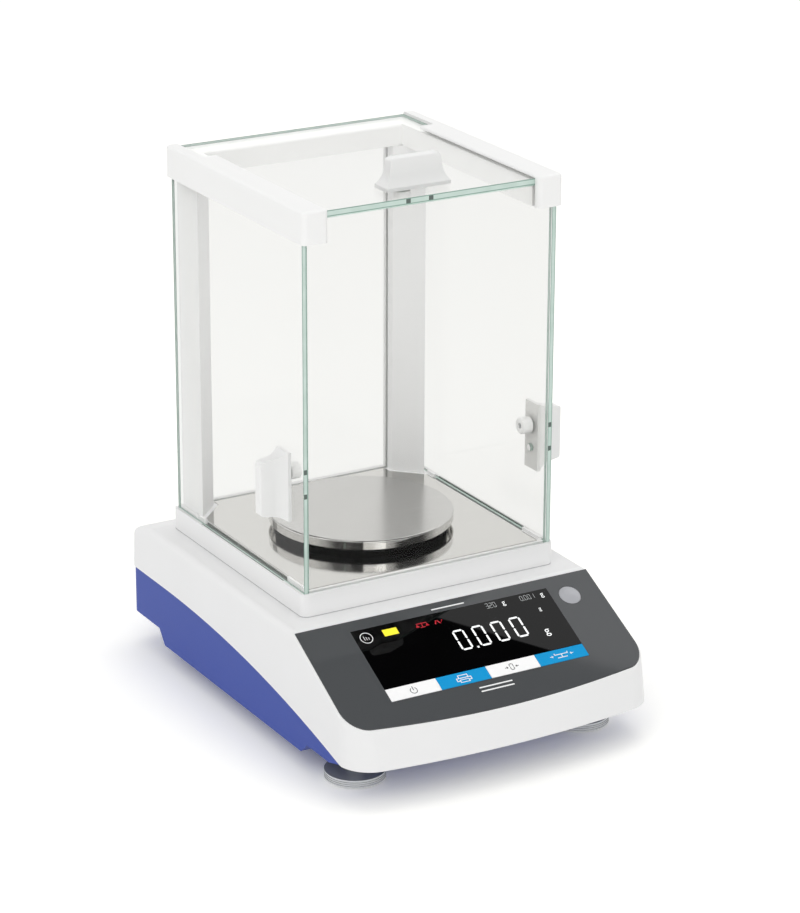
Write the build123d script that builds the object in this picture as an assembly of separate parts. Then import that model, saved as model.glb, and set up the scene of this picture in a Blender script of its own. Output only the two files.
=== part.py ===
from build123d import *
import math
import os

# Precision balance with a glass draft shield. Millimetres, +Z up, the table at z = 0, the panel facing -Y.
# Every size below is measured from the pan axis or from the surface that it names.

# Housing: heights above the table
housing_top = 89.9
seam_rear_height = 55.5
seam_front_height = 25.2
belly_height = 13.0
front_bay_height = 20.2
rear_bay_height = 22.7

# Housing: plan, measured from the pan axis
housing_half_width = 110.0
housing_front = 193.2
housing_rear = 127.0
side_draft = 1.8
front_lean = 20.0
front_crown_depth = 10.1
front_crown_flattening = 0.134
front_corner_radius = 22.0
front_corner_tightening = 0.21
rear_corner_radius = 10.0
rear_slope_start = 95.0
rear_slope = 16.7
top_edge_radius = 4.5
panel_edge_radius = 1.2
housing_wall = 3.0

# Housing: the seam between the two mouldings, and the steps of the underside
seam_flat_end = 75.0
seam_front_setback = 25.2
tray_inset = 1.0
tray_taper_inset = 1.2
tray_floor = 3.0
tray_wall = 3.2
seam_gap = 0.3
tongue_height = 3.0
tongue_root = 6.0
tongue_wall = 1.4
tongue_clearance = 0.25
rear_bay_before_foot = 10.0
front_bay_behind_foot = 15.7
front_bay_before_foot = 12.3
bay_step_slope = 8.0

# Sloping control panel
slope_start = 102.1
panel_slope = 27.5
film_thickness = 0.6
film_top_margin = 3.3
film_edge_gap = 1.0
window_side_margin = 38.0
window_height = 48.4
window_from_film_top = 8.0
window_thickness = 2.0
window_ledge = 2.5
key_count = 4
key_height = 9.7
key_gap = 0.3
key_cap_thickness = 1.4
key_travel = 0.4
key_switch_gap = 0.45
key_stem_length = 14.0
key_stem_width = 4.0
key_stem_below_wall = 0.15
key_stem_clearance = 0.3
level_radius = 7.2
level_from_window = 5.7
level_from_film_top = 17.5
level_depth = 8.0
level_dome_height = 1.8
level_flange_width = 2.0
level_flange_height = 1.2
recess_clearance = 0.2

# Display electronics behind the panel
display_depth = 6.0
circuit_board_thickness = 1.6
display_board_margin = 5.0
display_boss_inset = 4.0
switch_side = 6.0
switch_height = 3.5
plunger_radius = 1.75
plunger_height = 5.0

# Draft shield base and the steel plate laid in it
shield_side_margin = 17.45
shield_front = 89.4
shield_rear = 91.6
shield_base_height = 15.3
shield_corner_radius = 5.0
shield_deck = 5.0
shield_skirt = 2.5
plate_thickness = 1.0
plate_proud = 0.5
plate_side_margin = 8.55
plate_front_margin = 7.8
plate_rear_margin = 8.3
plate_column_gap = 3.0
plate_hole_radius = 13.0
post_hole_radius = 15.0

# Glass
glass_thickness = 3.0
top_glass_thickness = 4.0
glass_clearance = 0.3
door_side_margin = 2.15
door_end_margin = 2.3
door_lift_gap = 0.3
top_glass_play = 0.2
top_glass_side_margin = 8.55
door_groove_depth = 1.0
pane_groove_depth = 2.7
rear_pane_setback = 6.1
rear_pane_tuck = 3.2

# Door tracks let into the shield base
track_front = 61.0
track_rear = 52.0
track_depth = 3.0
track_wall = 0.8
track_outer_gap = 0.2
track_inner_gap = 2.0
guide_rib_height = 2.2
guide_rib_width = 1.6
front_rib_length = 21.0
rear_rib_length = 9.0

# Corner columns
chamber_height = 226.4
column_side_margin = 8.75
column_rear_margin = 1.0
column_width = 16.0
column_depth = 28.7
column_wall = 2.0
tie_rod_radius = 2.0
tie_rod_clearance = 0.2
tie_rod_from_column_side = 5.3
tie_rod_from_column_rear = 17.3
tie_rod_head_radius = 3.5
tie_rod_head_height = 4.0
tie_rod_grip = 9.0
rod_boss_wall = 1.6

# Top rails and the beam between them
rail_height = 20.6
rail_side_margin = 0.2
rail_width = 18.25
rail_front_overhang = 2.5
rail_rear_overhang = 0.8
rail_top_radius = 2.0
rail_corner_radius = 3.6
rail_lip = 1.8
rail_lip_end = 53.0
door_head_room = 0.8
rail_cover_over_door = 12.9
beam_depth = 15.4
beam_rear_inset = 0.5
beam_tenon_length = 5.0
beam_tenon_width = 6.0
beam_tenon_height = 6.0

# Door handles, the same on all three doors
handle_base_length = 45.4
handle_base_width = 15.4
handle_neck_length = 37.6
handle_neck_width = 8.0
handle_tip_length = 34.8
handle_tip_width = 7.0
handle_tip_length_radius = 3.0
handle_tip_width_radius = 1.6
handle_reach = 20.0
handle_foot_height = 2.4
handle_foot_radius = 0.8
handle_flare_height = 11.0
handle_seat_gap = 0.1
handle_from_door_front = 23.1
side_handle_height = 66.0
handle_hole_spacing = 16.0
handle_stud_radius = 2.0
handle_pin_radius = 2.25
handle_hole_clearance = 0.25
thumb_nut_radius = 5.5
thumb_nut_height = 7.0
thumb_nut_recess = 1.2
thumb_nut_edge = 0.7

# Weighing pan, its support and the load receiver
pan_radius = 60.0
pan_height = 11.7
pan_sheet = 1.2
pan_rim = 6.0
pan_rim_wall = 1.0
pan_edge_radius = 1.0
support_radius = 55.5
support_wall = 2.0
support_clearance = 2.8
hub_radius = 11.0
hub_clearance = 1.6
post_radius = 7.0
spigot_radius = 5.0
spigot_height = 8.0
spigot_clearance = 0.3
spigot_length = 10.0

# Load cell and its mounting
cell_length = 130.0
cell_width = 30.0
cell_height = 20.0
cell_end_length = 28.0
cell_hole_radius = 7.5
cell_hole_spacing = 24.0
block_height = 8.0
receiver_pad_height = 2.0
receiver_arm_height = 5.0
cell_screw_radius = 3.0
cell_screw_spacing = 14.0
cell_screw_head_radius = 5.0
cell_screw_head_height = 6.0
cell_screw_depth = 12.0
receiver_arm_width = 20.0
receiver_arm_reach = 9.0
stop_radius = 3.0
stop_gap = 0.3
stop_spacing = 16.0

# Main board: gaps to the load cell and the housing, and what stands on it as shares of its width and length
board_cell_gap = 11.0
board_side_margin = 12.0
board_front_inset = 5.0
board_rear_overhang = 1.0
standoff_height = 8.0
board_screw_radius = 1.4
board_hole_inset = 5.0
board_screw_head_radius = 2.6
board_screw_head_height = 1.6
board_screw_length = 7.0
board_boss_radius = 3.0
converter_across = (0.14, 0.58)
converter_along = (0.11, 0.37)
converter_height = 7.0
processor_across = (0.28, 0.50)
processor_along = (0.48, 0.61)
processor_height = 1.6
plug_across = (0.17, 0.56)
plug_along = (0.89, 0.95)
plug_height = 8.5
capacitor_across = 0.78
capacitor_along = (0.71, 0.83)
capacitor_radius = 5.0
capacitor_height = 14.0

# Screws between the two housing mouldings, and into the shield base
housing_screw_side_margin = 16.0
housing_screw_rear_margin = 29.0
housing_screw_front_margin = 33.2
housing_screw_radius = 1.5
housing_screw_head_radius = 3.0
housing_screw_head_height = 2.4
housing_boss_radius = 5.2
housing_screw_grip = 6.0
housing_screw_length = 16.0
screw_head_clearance = 0.4
boss_joint_rear = 60.0
boss_joint_front = 36.0
shield_screw_x = 60.0
shield_screw_y = 60.0
shield_screw_radius = 1.5
shield_screw_head_radius = 3.2
shield_screw_head_height = 1.6
shield_screw_length = 14.0
shield_boss_radius = 4.5

# Levelling feet, drawn screwed all the way in
front_foot_side_margin = 27.2
front_foot_end_margin = 55.5
rear_foot_side_margin = 40.0
rear_foot_end_margin = 33.0
foot_radius = 19.4
foot_disc_bottom = 0.6
foot_disc_top = 5.7
foot_groove_count = 3
foot_groove_depth = 0.5
foot_groove_height = 0.7
foot_pad_radius = 17.0
foot_pad_thickness = 3.0
foot_pad_clearance = 0.4
foot_neck_radius = 5.0
foot_neck_gap = 0.1
foot_stud_radius = 4.0
foot_stud_clearance = 0.05
foot_stud_top = 38.0
foot_stud_head_room = 1.0
foot_boss_cap = 1.5
insert_wall = 2.0
insert_length = 12.0
foot_boss_wall = 2.5

# Rear connectors
connector_height = 40.0
power_inlet_side_margin = 38.0
power_barrel_radius = 4.0
power_flange_radius = 5.5
power_flange_height = 2.0
power_body_length = 12.0
power_socket_radius = 2.8
power_socket_depth = 9.5
power_pin_radius = 1.05
serial_port_spacing = 42.0
serial_flange_width = 30.8
serial_flange_height = 12.5
serial_flange_thickness = 1.0
serial_shell_width = 17.0
serial_shell_height = 8.4
serial_shell_reach = 3.0
serial_body_depth = 8.0
serial_seat = 3.0
connector_seat = 2.0
jack_screw_spacing = 25.0
jack_screw_radius = 2.7
jack_screw_height = 3.0
jack_thread_radius = 1.4
jack_thread_length = 4.0
pin_radius_share = 0.33

# Heights and places that follow
deck = housing_top + shield_base_height
rail_bottom = deck + chamber_height
rail_top = rail_bottom + rail_height
top_glass_top = rail_top - rail_lip - top_glass_play
top_glass_bottom = top_glass_top - top_glass_thickness
shield_half_width = housing_half_width - shield_side_margin
rail_outer = shield_half_width - rail_side_margin
rail_inner = rail_outer - rail_width
rail_front = shield_front + rail_front_overhang
rail_rear = shield_rear + rail_rear_overhang
column_outer = shield_half_width - column_side_margin
column_inner = column_outer - column_width
column_rear = shield_rear - column_rear_margin
column_front = column_rear - column_depth
tie_rod_x = column_outer - tie_rod_from_column_side
tie_rod_y = column_rear - tie_rod_from_column_rear
beam_rear = rail_rear - beam_rear_inset
beam_front = beam_rear - beam_depth
plate_half_width = shield_half_width - plate_side_margin
plate_front = shield_front - plate_front_margin
plate_rear = shield_rear - plate_rear_margin
door_outer_half_width = shield_half_width - door_side_margin
door_half_length = shield_front - door_end_margin
door_inner = door_outer_half_width - glass_thickness
top_glass_half_width = shield_half_width - top_glass_side_margin
rear_pane_face = column_rear - rear_pane_setback
rear_pane_half_width = column_inner + rear_pane_tuck
window_half_width = housing_half_width - window_side_margin
seam_front_end = housing_front - seam_front_setback
housing_screw_x = housing_half_width - housing_screw_side_margin
housing_screw_rear = housing_rear - housing_screw_rear_margin
housing_screw_front = housing_front - housing_screw_front_margin
front_foot_x = housing_half_width - front_foot_side_margin
front_foot_y = housing_front - front_foot_end_margin
rear_foot_x = housing_half_width - rear_foot_side_margin
rear_foot_y = housing_rear - rear_foot_end_margin
rear_bay_start = rear_foot_y - rear_bay_before_foot
front_bay_start = front_foot_y - front_bay_behind_foot
front_bay_end = front_foot_y + front_bay_before_foot
main_board_x = cell_width / 2 + board_cell_gap
main_board_width = housing_half_width - board_side_margin - main_board_x
main_board_front = cell_length / 2 - board_front_inset
main_board_length = cell_length / 2 + board_rear_overhang + main_board_front
power_inlet_x = housing_half_width - power_inlet_side_margin
serial_port_x = power_inlet_x - serial_port_spacing
door_top = rail_bottom + rail_cover_over_door - door_head_room
tray_floor_height = belly_height + tray_floor
slope_angle = math.radians(panel_slope)
rear_angle = math.radians(rear_slope)
front_reach = housing_front
rear_reach = housing_rear + max(serial_shell_reach, jack_screw_height)
pan_axis_y = (front_reach - rear_reach) / 2
front_slope = math.tan(math.radians(front_lean))
draft_slope = math.tan(math.radians(side_draft))
panel_fall = math.tan(slope_angle)
rear_fall = math.tan(rear_angle)
inlet_seat = housing_rear - connector_seat
serial_flange_face = housing_rear - serial_seat
door_groove_inner = door_inner - glass_clearance
door_groove_outer = door_outer_half_width + glass_clearance
track_inner_edge = door_inner - track_inner_gap - track_wall
track_outer_edge = door_outer_half_width + track_outer_gap + track_wall
pane_slot_front = rear_pane_face - recess_clearance
pane_slot_rear = rear_pane_face + glass_thickness + recess_clearance
tenon_front = (beam_front + beam_rear - beam_tenon_width) / 2
tenon_rear = tenon_front + beam_tenon_width
beam_top = top_glass_bottom - glass_clearance
tenon_low = (rail_bottom + beam_top - beam_tenon_height) / 2
tenon_high = tenon_low + beam_tenon_height
shield_screw_end = housing_top - housing_wall + shield_screw_length
insert_radius = foot_stud_radius + foot_stud_clearance + insert_wall
foot_boss_radius = insert_radius + foot_boss_wall
foot_boss_top = foot_stud_top + foot_stud_head_room + foot_boss_cap
cell_bottom = tray_floor_height + block_height
cell_top = cell_bottom + cell_height
cell_screw_end = belly_height + recess_clearance
receiver_arm_top = cell_top + receiver_pad_height + receiver_arm_height
socket_top = deck + spigot_height

# Depths on the panel, counted outwards from the bare slope
cap_bottom = film_thickness - key_cap_thickness
window_bottom = film_thickness - window_thickness
key_stem_bottom = -housing_wall - key_stem_below_wall
plunger_top = key_stem_bottom - key_switch_gap
board_top = plunger_top - plunger_height
window_end = window_from_film_top + window_height
key_row_end = window_end + key_gap + key_height
key_pitch = 2 * window_half_width / key_count
level_x = window_half_width + level_from_window + level_radius
panel = Plane(
    origin=(0, -slope_start, housing_top),
    x_dir=(1, 0, 0),
    z_dir=(0, -math.sin(slope_angle), math.cos(slope_angle)),
).location


def block(x0, x1, y0, y1, z0, z1):
    """Box between two corners."""
    return Pos((x0 + x1) / 2, (y0 + y1) / 2, (z0 + z1) / 2) * Box(abs(x1 - x0), abs(y1 - y0), abs(z1 - z0))


def plan_rectangle(x0, x1, y0, y1):
    """Rectangle in plan between two corners."""
    return Pos((x0 + x1) / 2, (y0 + y1) / 2) * Rectangle(abs(x1 - x0), abs(y1 - y0))


def rod(x, y, z0, z1, radius):
    """Upright round bar from one height to another."""
    return Pos(x, y, (z0 + z1) / 2) * Cylinder(radius, abs(z1 - z0))


def side_slab(face):
    """Solid as wide as the housing and more, from a face drawn in the side view."""
    return extrude(Plane.YZ * face, amount=housing_half_width + shield_half_width, both=True)


def turned(points):
    """Solid of revolution about the pan axis, from a half section of radius and height."""
    return revolve(make_face(Plane.XZ * Polyline(*points, close=True)), Axis.Z)


def mirrored(part):
    """The same part on the other side of the balance."""
    return mirror(part, Plane.YZ)


# Housing mouldings

def housing_outline(height, inset):
    """Plan of the housing at one height: straight sides and a crowned front that grows flatter and tighter upwards."""
    rise = height - seam_front_height
    half_width = housing_half_width - rise * draft_slope - inset
    front = housing_front - rise * front_slope - inset
    rear = housing_rear - inset
    corner = front - front_crown_depth + rise * front_crown_flattening
    corner_radius = front_corner_radius - rise * front_corner_tightening - inset
    edges = [
        ThreePointArc((-half_width, -corner), (0, -front), (half_width, -corner)),
        Line((half_width, -corner), (half_width, rear)),
        Line((half_width, rear), (-half_width, rear)),
        Line((-half_width, rear), (-half_width, -corner)),
    ]
    face = make_face(edges)
    face = fillet(face.vertices().group_by(Axis.Y)[0], corner_radius)
    face = fillet(face.vertices().group_by(Axis.Y)[-1], rear_corner_radius - inset)
    return Pos(0, 0, height) * face


def housing_side(inset):
    """Side view of the housing under its top, its sloping panel and the slope behind the draft shield."""
    top = housing_top - inset
    rear = housing_rear - inset
    bend = slope_start - inset * math.tan(slope_angle / 2)
    rear_bend = rear_slope_start - inset * math.tan(rear_angle / 2)
    far = housing_front + front_corner_radius
    points = [
        (rear, 0),
        (rear, top - (rear - rear_bend) * rear_fall),
        (rear_bend, top),
        (-bend, top),
        (-far, top - (far - bend) * panel_fall),
        (-far, 0),
    ]
    return side_slab(make_face(Polyline(*points, close=True)))


def housing_form(inset):
    """The housing's outer form, or the same form a wall thickness further in."""
    low = housing_outline(0, inset)
    high = housing_outline(housing_top, inset)
    return loft([low.face(), high.face()], ruled=True) & housing_side(inset)


def above_seam(lift):
    """Everything above the joint line between the two mouldings."""
    rear = housing_rear + shield_rear
    front = housing_front + shield_rear
    bend = (seam_flat_end, seam_rear_height + lift)
    nose = (-seam_front_end, seam_front_height + lift)
    edges = [
        Line((rear, bend[1]), bend),
        TangentArc(bend, nose, tangent=(-1, 0)),
        Polyline(nose, (-front, nose[1]), (-front, 2 * housing_top), (rear, 2 * housing_top), (rear, bend[1])),
    ]
    return side_slab(make_face(edges))


def above_underside(lift):
    """Everything above the stepped underside of the lower moulding."""
    rear = housing_rear + shield_rear
    front = housing_front + shield_rear
    points = [
        (rear, rear_bay_height),
        (rear_bay_start, rear_bay_height),
        (rear_bay_start - bay_step_slope, belly_height),
        (-front_bay_start + bay_step_slope, belly_height),
        (-front_bay_start, front_bay_height),
        (-front_bay_end, front_bay_height),
        (-seam_front_end, seam_front_height),
        (-front, seam_front_height),
        (-front, 2 * housing_top),
        (rear, 2 * housing_top),
    ]
    lifted = [(y, z + lift) for y, z in points]
    return side_slab(make_face(Polyline(*lifted, close=True)))


def rounded_housing_form():
    """Outer form with soft top edges and a crisp rounded edge round the panel."""
    form = housing_form(0)
    tops = form.faces().filter_by(lambda f: f.normal_at().Z > (math.cos(slope_angle) + 1) / 2)
    rim = tops.edges().filter_by(lambda e: min(abs(e.center().Y + slope_start), abs(e.center().Y - rear_slope_start)) > 1)
    form = fillet(rim, top_edge_radius)
    slope = form.faces().filter_by(lambda f: abs(f.normal_at().Z - math.cos(slope_angle)) < 0.001)[0]
    edges = slope.edges().filter_by(lambda e: e.center().Y < -slope_start - 1)
    return fillet(edges, panel_edge_radius)


# Places that several pieces share

def on_panel(x, s):
    """Point of the slope, across from the middle and down from the film's top edge."""
    return panel * Pos(x, -film_top_margin - s, 0)


def panel_block(x0, x1, s0, s1, low, high):
    """Box on the slope, with its low and high faces counted outwards from the bare slope."""
    return panel * block(x0, x1, -film_top_margin - s1, -film_top_margin - s0, low, high)


def panel_rod(x, s, low, high, radius):
    """Round bar square to the slope."""
    return on_panel(x, s) * rod(0, 0, low, high, radius)


def housing_screw_places():
    """Screws that join the mouldings, each with the height at which its two bosses meet."""
    rear = [(x, housing_screw_rear, boss_joint_rear) for x in (-housing_screw_x, housing_screw_x)]
    front = [(x, -housing_screw_front, boss_joint_front) for x in (-housing_screw_x, housing_screw_x)]
    return rear + front


def foot_places():
    """Axes of the four feet, each with the height of the underside there."""
    front = [(x, -front_foot_y, front_bay_height) for x in (-front_foot_x, front_foot_x)]
    rear = [(x, rear_foot_y, rear_bay_height) for x in (-rear_foot_x, rear_foot_x)]
    return front + rear


def display_boss_places():
    """Corners of the display board where it is screwed to the panel."""
    across = window_half_width + display_board_margin - display_boss_inset
    upper = window_from_film_top - display_board_margin + display_boss_inset
    lower = key_row_end + display_board_margin - display_boss_inset
    return [(x, s) for x in (-across, across) for s in (upper, lower)]


def shield_screw_places():
    """Screws that hold the shield base to the housing."""
    return [(x, y) for x in (-shield_screw_x, shield_screw_x) for y in (-shield_screw_y, shield_screw_y)]


def main_board_holes():
    """Corners of the main board."""
    near = main_board_x + board_hole_inset
    far = main_board_x + main_board_width - board_hole_inset
    front = -main_board_front + board_hole_inset
    rear = -main_board_front + main_board_length - board_hole_inset
    return [(x, y) for x in (near, far) for y in (front, rear)]


def cell_screw_places(end):
    """Pair of screws at one end of the load cell, +1 for the rear and -1 for the front."""
    y = end * (cell_length - cell_end_length) / 2
    return [(x, y) for x in (-cell_screw_spacing / 2, cell_screw_spacing / 2)]


def stop_places():
    """Pair of overload stops under the free end of the load cell."""
    y = -cell_length / 2 + stop_radius + stop_gap
    return [(x, y) for x in (-stop_spacing / 2, stop_spacing / 2)]


def screw(x, y, seat, length, radius, head_radius, head_height):
    """Screw pointing up from its seat, or down for a negative length, with a hex socket head."""
    way = math.copysign(1, length)
    shank = rod(x, y, seat, seat + length, radius)
    head = rod(x, y, seat, seat - way * head_height, head_radius)
    socket = Pos(x, y, seat - way * head_height) * extrude(
        RegularPolygon(head_radius / 2, 6), amount=head_height / 2, both=True
    )
    return shank + head - socket


# Housing mouldings with their bosses and openings

def upper_housing():
    """White upper moulding: top, sloping panel, walls, closed nose and the bosses inside."""
    reach = 2 * housing_front
    shell = (rounded_housing_form() - housing_form(housing_wall)) & above_seam(0)
    solids = [block(-reach, reach, -reach, -seam_front_end, seam_front_height, seam_front_height + housing_wall)]
    solids += [rod(x, y, joint, housing_top, housing_boss_radius) for x, y, joint in housing_screw_places()]
    solids += [panel_rod(x, s, board_top, 0, board_boss_radius) for x, s in display_boss_places()]
    core = housing_form(housing_wall / 2)
    body = shell + [solid & core for solid in solids]
    wide, narrow = window_half_width, window_half_width - window_ledge
    upper, lower = window_from_film_top, key_row_end + key_gap
    inside = -2 * housing_wall
    cuts = [
        rod(0, 0, 0, 2 * housing_top, post_hole_radius),
        panel_block(-wide, wide, upper, lower, window_bottom, panel_edge_radius),
        panel_block(-narrow, narrow, upper + window_ledge, window_end - window_ledge, inside, 0),
        panel_rod(level_x, level_from_film_top, inside, housing_wall, level_radius + recess_clearance),
    ]
    for i in range(key_count):
        x, s = key_place(i)
        slot_x = key_stem_length / 2 + key_stem_clearance
        slot_s = key_stem_width / 2 + key_stem_clearance
        cuts.append(panel_block(x - slot_x, x + slot_x, s - slot_s, s + slot_s, inside, 0))
    for x, y, joint in housing_screw_places():
        cuts.append(rod(x, y, joint, joint + housing_screw_length - housing_screw_grip, housing_screw_radius))
    for x, s in display_boss_places():
        top = board_top - circuit_board_thickness + board_screw_length
        cuts.append(panel_rod(x, s, board_top, top, board_screw_radius))
    cuts += [rod(x, y, 0, 2 * housing_top, shield_screw_radius) for x, y in shield_screw_places()]
    return body - cuts


def key_place(i):
    """Middle of one of the four keys, counted from the left."""
    return (i - (key_count - 1) / 2) * key_pitch, window_end + key_gap + key_height / 2


def tray_form(inset):
    """Outer form of the lower moulding, or the same form further in, up to the seam and past it."""
    low = housing_outline(belly_height, tray_inset + tray_taper_inset + inset)
    high = housing_outline(seam_rear_height, tray_inset + inset)
    return loft([low.face(), high.face()], ruled=True)


def lower_housing():
    """Blue lower moulding: stepped tray with a tongue at the seam, foot bosses and posts for what it carries."""
    below_seam = tray_form(0) - above_seam(-seam_gap)
    shell = (below_seam & above_underside(0)) - (tray_form(tray_wall) & above_underside(tray_floor))
    outer = housing_form(housing_wall + tongue_clearance)
    inner = housing_form(housing_wall + tongue_clearance + tongue_wall)
    band = above_seam(-tongue_root) - above_seam(tongue_height)
    reach = 2 * housing_front
    behind_nose = block(-reach, reach, tray_wall - seam_front_end, reach, 0, reach)
    tongue = (outer - inner) & band & above_underside(tray_floor / 2) & behind_nose
    standoff_top = tray_floor_height + standoff_height
    solids = [rod(x, y, z / 2, foot_boss_top, foot_boss_radius) for x, y, z in foot_places()]
    solids += [rod(x, y, belly_height, joint, housing_boss_radius) for x, y, joint in housing_screw_places()]
    solids += [rod(x, y, belly_height, standoff_top, board_boss_radius) for x, y in main_board_holes()]
    body = shell + [tongue] + [solid & above_underside(0) for solid in solids]
    cuts = []
    for x, y, z in foot_places():
        cuts.append(rod(x, y, 0, z + insert_length, insert_radius))
        cuts.append(rod(x, y, 0, foot_stud_top + foot_stud_head_room, foot_stud_radius + foot_pad_clearance))
    for x, y, joint in housing_screw_places():
        cuts.append(rod(x, y, 0, joint - housing_screw_grip, housing_screw_head_radius + screw_head_clearance))
        cuts.append(rod(x, y, 0, joint, housing_screw_radius))
    screw_end = standoff_top + circuit_board_thickness - board_screw_length
    cuts += [rod(x, y, screw_end, standoff_top, board_screw_radius) for x, y in main_board_holes()]
    for x, y in cell_screw_places(1):
        cuts.append(rod(x, y, cell_screw_end, tray_floor_height, cell_screw_radius))
    for x, y in stop_places():
        cuts.append(rod(x, y, cell_screw_end, tray_floor_height, stop_radius))
    cuts += connector_openings()
    return body - cuts


def connector_openings():
    """Openings and flat seats in the rear wall for the two connectors."""
    out = housing_rear + tray_wall
    inside = housing_rear - 2 * tray_wall
    play = 2 * recess_clearance
    cuts = [
        back_rod(power_inlet_x, inlet_seat, out, power_flange_radius + recess_clearance),
        back_rod(power_inlet_x, inside, inlet_seat, power_barrel_radius),
        serial_block(serial_flange_width + play, serial_flange_height + play, inside, serial_flange_face),
        serial_block(serial_shell_width + play, serial_shell_height + play, inside, out),
    ]
    for x in jack_screw_places():
        cuts.append(back_rod(x, inlet_seat, out, jack_screw_radius + recess_clearance))
        cuts.append(back_rod(x, inside, inlet_seat, jack_thread_radius))
    return cuts


def back_rod(x, y0, y1, radius):
    """Round bar along the depth of the balance at the height of the rear connectors."""
    return Pos(x, (y0 + y1) / 2, connector_height) * Rot(90, 0, 0) * Cylinder(radius, y1 - y0)


def serial_block(width, height, y0, y1):
    """Box centred on the serial port, from one depth to another."""
    return Pos(serial_port_x, (y0 + y1) / 2, connector_height) * Box(width, y1 - y0, height)


def jack_screw_places():
    """Hex posts either side of the serial port."""
    return [serial_port_x - jack_screw_spacing / 2, serial_port_x + jack_screw_spacing / 2]


def power_inlet():
    """Round socket for a low-voltage plug, with its centre pin."""
    rear = inlet_seat + power_flange_height
    body = back_rod(power_inlet_x, inlet_seat, rear, power_flange_radius)
    body += back_rod(power_inlet_x, rear - power_body_length, inlet_seat, power_barrel_radius)
    body -= back_rod(power_inlet_x, rear - power_socket_depth, rear, power_socket_radius)
    return body + back_rod(power_inlet_x, rear - power_socket_depth, inlet_seat, power_pin_radius)


def serial_port():
    """Nine-pole port: flange and body inside the wall, shell and hex posts outside it."""
    z = connector_height
    shell_end = housing_rear + serial_shell_reach
    flange_rear = serial_flange_face - serial_flange_thickness
    outline = RectangleRounded(serial_shell_width, serial_shell_height, serial_shell_height / 4)
    outwards = Rot(-90, 0, 0)
    shell = extrude(outline, amount=shell_end - serial_flange_face)
    port = Pos(serial_port_x, serial_flange_face, z) * outwards * shell
    port += serial_block(serial_flange_width, serial_flange_height, flange_rear, serial_flange_face)
    port += serial_block(serial_shell_width, serial_shell_height, flange_rear - serial_body_depth, flange_rear)
    pin_pitch = serial_shell_width / 12
    row_gap = serial_shell_height / 6
    for row, places in ((row_gap, (-4, -2, 0, 2, 4)), (-row_gap, (-3, -1, 1, 3))):
        for place in places:
            x = serial_port_x + place * pin_pitch
            hole = back_rod(x, shell_end - serial_shell_reach, shell_end, pin_radius_share * pin_pitch)
            port -= Pos(0, 0, row) * hole
    post = extrude(RegularPolygon(jack_screw_radius, 6), amount=housing_rear + jack_screw_height - inlet_seat)
    for x in jack_screw_places():
        port += Pos(x, inlet_seat, z) * outwards * post
        port += back_rod(x, inlet_seat - jack_thread_length, inlet_seat, jack_thread_radius)
    return port


# Control panel and display

def panel_film():
    """Dark printed film over the slope, with openings for the window, the keys and the level."""
    reach = 2 * housing_front
    sheet = panel_block(-reach, reach, 0, reach, 0, film_thickness)
    low = housing_outline(0, film_edge_gap)
    high = housing_outline(housing_top, film_edge_gap)
    film = sheet & loft([low.face(), high.face()], ruled=True)
    low, high = -film_thickness, 2 * film_thickness
    half, lower = window_half_width, key_row_end + key_gap
    opening = panel_block(-half, half, window_from_film_top, lower, low, high)
    return film - [opening, panel_rod(level_x, level_from_film_top, low, high, level_radius + recess_clearance)]


def display_window():
    """Clear dark window over the display, flush with the film."""
    half = window_half_width
    return panel_block(-half, half, window_from_film_top, window_end, window_bottom, film_thickness)


def display_module():
    """Display module that stands on its board behind the window."""
    ledge = window_ledge + recess_clearance
    x = window_half_width - ledge
    return panel_block(-x, x, window_from_film_top + ledge, window_end - ledge, board_top, board_top + display_depth)


def display_board():
    """Circuit board behind the panel, screwed at its corners."""
    x = window_half_width + display_board_margin
    upper = window_from_film_top - display_board_margin
    lower = key_row_end + display_board_margin
    low = board_top - circuit_board_thickness
    board = panel_block(-x, x, upper, lower, low, board_top)
    return board - [panel_rod(x, s, low, board_top, board_screw_radius) for x, s in display_boss_places()]


def key_switches():
    """Four push switches on the display board, one under each key."""
    switches = []
    for i in range(key_count):
        x, s = key_place(i)
        half = switch_side / 2
        body = panel_block(x - half, x + half, s - half, s + half, board_top, board_top + switch_height)
        switches.append(body + panel_rod(x, s, board_top + switch_height, plunger_top, plunger_radius))
    return Compound(switches)


def key(i):
    """Flat key cap with a stem that reaches through the housing to its switch."""
    x, s = key_place(i)
    half = (key_pitch - key_gap) / 2
    cap = panel_block(x - half, x + half, s - key_height / 2, s + key_height / 2, cap_bottom, film_thickness)
    stem_x, stem_s = key_stem_length / 2, key_stem_width / 2
    return cap + panel_block(x - stem_x, x + stem_x, s - stem_s, s + stem_s, key_stem_bottom, cap_bottom)


def level_cup():
    """Cup of the spirit level, held by a flange behind the panel."""
    cup = panel_rod(level_x, level_from_film_top, film_thickness - level_depth, film_thickness, level_radius)
    low = -housing_wall - level_flange_height
    return cup + panel_rod(level_x, level_from_film_top, low, -housing_wall, level_radius + level_flange_width)


def level_dome():
    """Low domed cap of the spirit level."""
    h = level_dome_height
    sphere_radius = (level_radius**2 + h**2) / (2 * h)
    cap = make_face([
        Line((0, 0), (level_radius, 0)),
        RadiusArc((level_radius, 0), (0, h), -sphere_radius),
        Line((0, h), (0, 0)),
    ])
    return on_panel(level_x, level_from_film_top) * Pos(0, 0, film_thickness) * revolve(Plane.XZ * cap, Axis.Z)


# Electronics and load cell inside

def main_board():
    """Main circuit board on four standoffs beside the load cell."""
    low = tray_floor_height + standoff_height
    board = board_block((0, 1), (0, 1), low, circuit_board_thickness)
    return board - [rod(x, y, 0, housing_top, board_screw_radius) for x, y in main_board_holes()]


def board_place(across, along):
    """Point of the main board, from shares of its width and of its length."""
    return main_board_x + across * main_board_width, along * main_board_length - main_board_front


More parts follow.
